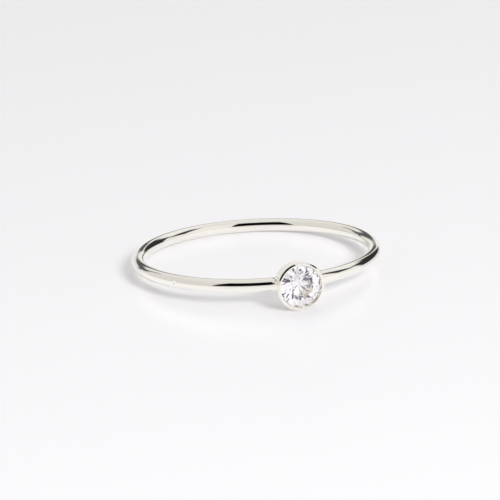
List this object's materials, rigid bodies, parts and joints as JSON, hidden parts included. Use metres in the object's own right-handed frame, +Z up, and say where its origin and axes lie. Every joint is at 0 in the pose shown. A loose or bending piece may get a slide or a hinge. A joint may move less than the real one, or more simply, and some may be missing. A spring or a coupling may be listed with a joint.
{
  "type": "stackable ring",
  "caption": "Thin round-wire finger ring with a small round faceted clear stone in a tapered bezel cup, made to be worn in a stack.",
  "frame": {"origin": "on the surface that the ring lies on, under the middle of its bounding box", "axes": "+Z up from the surface; -Y the way that the cup and stone face; +X to the right of someone looking at the stone"},
  "size_m": [0.0194, 0.0206, 0.0037],
  "materials": {
    "silver": "polished silver, slightly warm, with fine wear",
    "clear_stone": "clear polished facets"
  },
  "bodies": {
    "root": {"band_and_cup": "silver", "stone": "clear_stone"}
  },
  "joints": []
}
